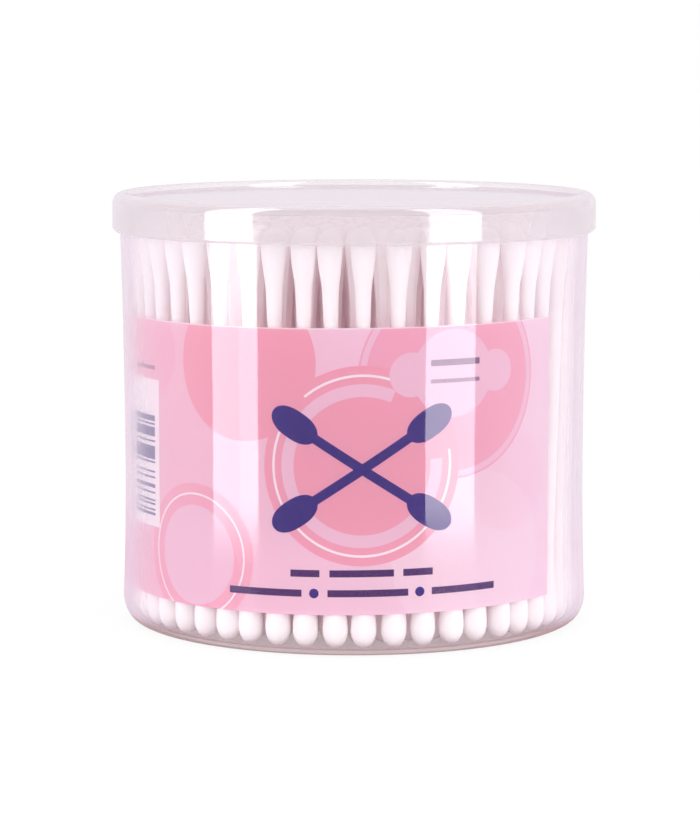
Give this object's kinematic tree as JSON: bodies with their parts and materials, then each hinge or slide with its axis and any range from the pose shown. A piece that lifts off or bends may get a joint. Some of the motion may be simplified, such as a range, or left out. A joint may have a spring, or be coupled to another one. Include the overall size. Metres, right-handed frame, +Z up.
{
  "type": "cotton swab tub",
  "caption": "Clear round plastic tub of paper-stick cotton swabs standing on end, with a milky press-on lid and a pink printed paper strip inside the wall.",
  "frame": {"origin": "centre of the foot ring, on the surface that the tub stands on", "axes": "+Z up through the lid, -Y towards the viewer who sees the printed front, +X to that viewer's right"},
  "size_m": [0.0886, 0.0886, 0.0788],
  "materials": {
    "tub_plastic": "clear, slightly milky, glossy",
    "lid_plastic": "milky translucent, satin gloss",
    "label_paper": "printed, satin",
    "stick_paper": "rolled white paper, matte",
    "cotton": "wound cotton, soft matte"
  },
  "bodies": {
    "tub_body": {"tub": "tub_plastic", "label": "label_paper", "sticks_ring_1": "stick_paper", "sticks_ring_2": "stick_paper", "sticks_ring_3": "stick_paper", "sticks_ring_4": "stick_paper", "sticks_ring_5": "stick_paper", "sticks_ring_6": "stick_paper", "sticks_ring_7": "stick_paper", "sticks_core": "stick_paper", "lower_tips_ring_1": "cotton", "lower_tips_ring_2": "cotton", "lower_tips_ring_3": "cotton", "lower_tips_ring_4": "cotton", "lower_tips_ring_5": "cotton", "lower_tips_ring_6": "cotton", "lower_tips_ring_7": "cotton", "lower_tips_core": "cotton", "upper_tips_ring_1": "cotton", "upper_tips_ring_2": "cotton", "upper_tips_ring_3": "cotton", "upper_tips_ring_4": "cotton", "upper_tips_ring_5": "cotton", "upper_tips_ring_6": "cotton", "upper_tips_ring_7": "cotton", "upper_tips_core": "cotton"},
    "lid_body": {"lid": "lid_plastic"}
  },
  "joints": [
    {"name": "lid_lift", "type": "slide", "parent": "tub_body", "child": "lid_body", "axis": [0, 0, 1], "range_m": [0, 0.04]}
  ]
}
